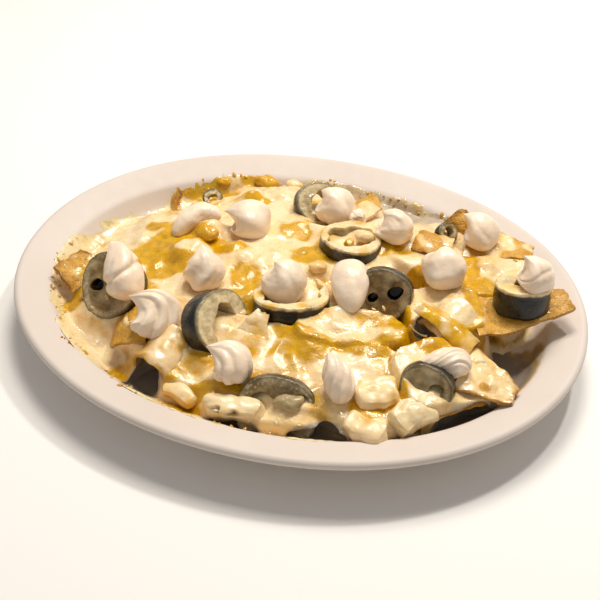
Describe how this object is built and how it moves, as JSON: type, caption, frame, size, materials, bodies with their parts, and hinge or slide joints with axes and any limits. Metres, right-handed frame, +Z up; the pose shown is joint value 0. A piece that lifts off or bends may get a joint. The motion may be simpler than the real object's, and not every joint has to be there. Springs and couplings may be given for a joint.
{
  "type": "nachos on an oval platter",
  "caption": "Oval stoneware platter of baked nachos: tortilla chips under melted cheese, topped with pickled jalapeno slices, chicken pieces and piped sour cream.",
  "frame": {"origin": "centre of the platter's footprint, on the surface it stands on", "axes": "+X along the platter's long axis, +Z up, the front of the heap at -Y"},
  "size_m": [0.2892, 0.225, 0.0579],
  "materials": {
    "stoneware_glaze": "clear glaze over cream-white stoneware, smooth and lightly glossy",
    "melted_cheese": "baked white and yellow cheese, oily gloss, browned at its thin edges",
    "baked_tortilla": "baked corn tortilla chip, dry and slightly pitted, browned at the edges",
    "pickled_jalapeno": "dark wet skin round pale flesh and seeds",
    "cooked_chicken": "diced cooked chicken, moist, with a coat of melted cheese",
    "sour_cream": "thick piped sour cream, smooth with a soft sheen"
  },
  "bodies": {
    "root": {"chicken_piece_01": "cooked_chicken", "chicken_piece_02": "cooked_chicken", "chicken_piece_03": "cooked_chicken", "chicken_piece_04": "cooked_chicken", "chicken_piece_05": "cooked_chicken", "jalapeno_slice_01": "pickled_jalapeno", "jalapeno_slice_02": "pickled_jalapeno", "jalapeno_slice_03": "pickled_jalapeno", "jalapeno_slice_04": "pickled_jalapeno", "jalapeno_slice_05": "pickled_jalapeno", "jalapeno_slice_06": "pickled_jalapeno", "jalapeno_slice_07": "pickled_jalapeno", "jalapeno_slice_08": "pickled_jalapeno", "jalapeno_slice_09": "pickled_jalapeno", "jalapeno_slice_10": "pickled_jalapeno", "jalapeno_slice_11": "pickled_jalapeno", "melted_cheese": "melted_cheese", "platter": "stoneware_glaze", "sour_cream_01": "sour_cream", "sour_cream_02": "sour_cream", "sour_cream_03": "sour_cream", "sour_cream_04": "sour_cream", "sour_cream_05": "sour_cream", "sour_cream_06": "sour_cream", "sour_cream_07": "sour_cream", "sour_cream_08": "sour_cream", "sour_cream_09": "sour_cream", "sour_cream_10": "sour_cream", "sour_cream_11": "sour_cream", "sour_cream_12": "sour_cream", "sour_cream_13": "sour_cream", "sour_cream_14": "sour_cream", "sour_cream_15": "sour_cream", "sour_cream_16": "sour_cream", "tortilla_chip_01": "baked_tortilla", "tortilla_chip_02": "baked_tortilla", "tortilla_chip_03": "baked_tortilla", "tortilla_chip_04": "baked_tortilla", "tortilla_chip_05": "baked_tortilla", "tortilla_chip_06": "baked_tortilla", "tortilla_chip_07": "baked_tortilla", "tortilla_chip_08": "baked_tortilla", "tortilla_chip_09": "baked_tortilla", "tortilla_chip_10": "baked_tortilla", "tortilla_chip_11": "baked_tortilla", "tortilla_chip_12": "baked_tortilla", "tortilla_chip_13": "baked_tortilla", "tortilla_chip_14": "baked_tortilla"}
  },
  "joints": []
}
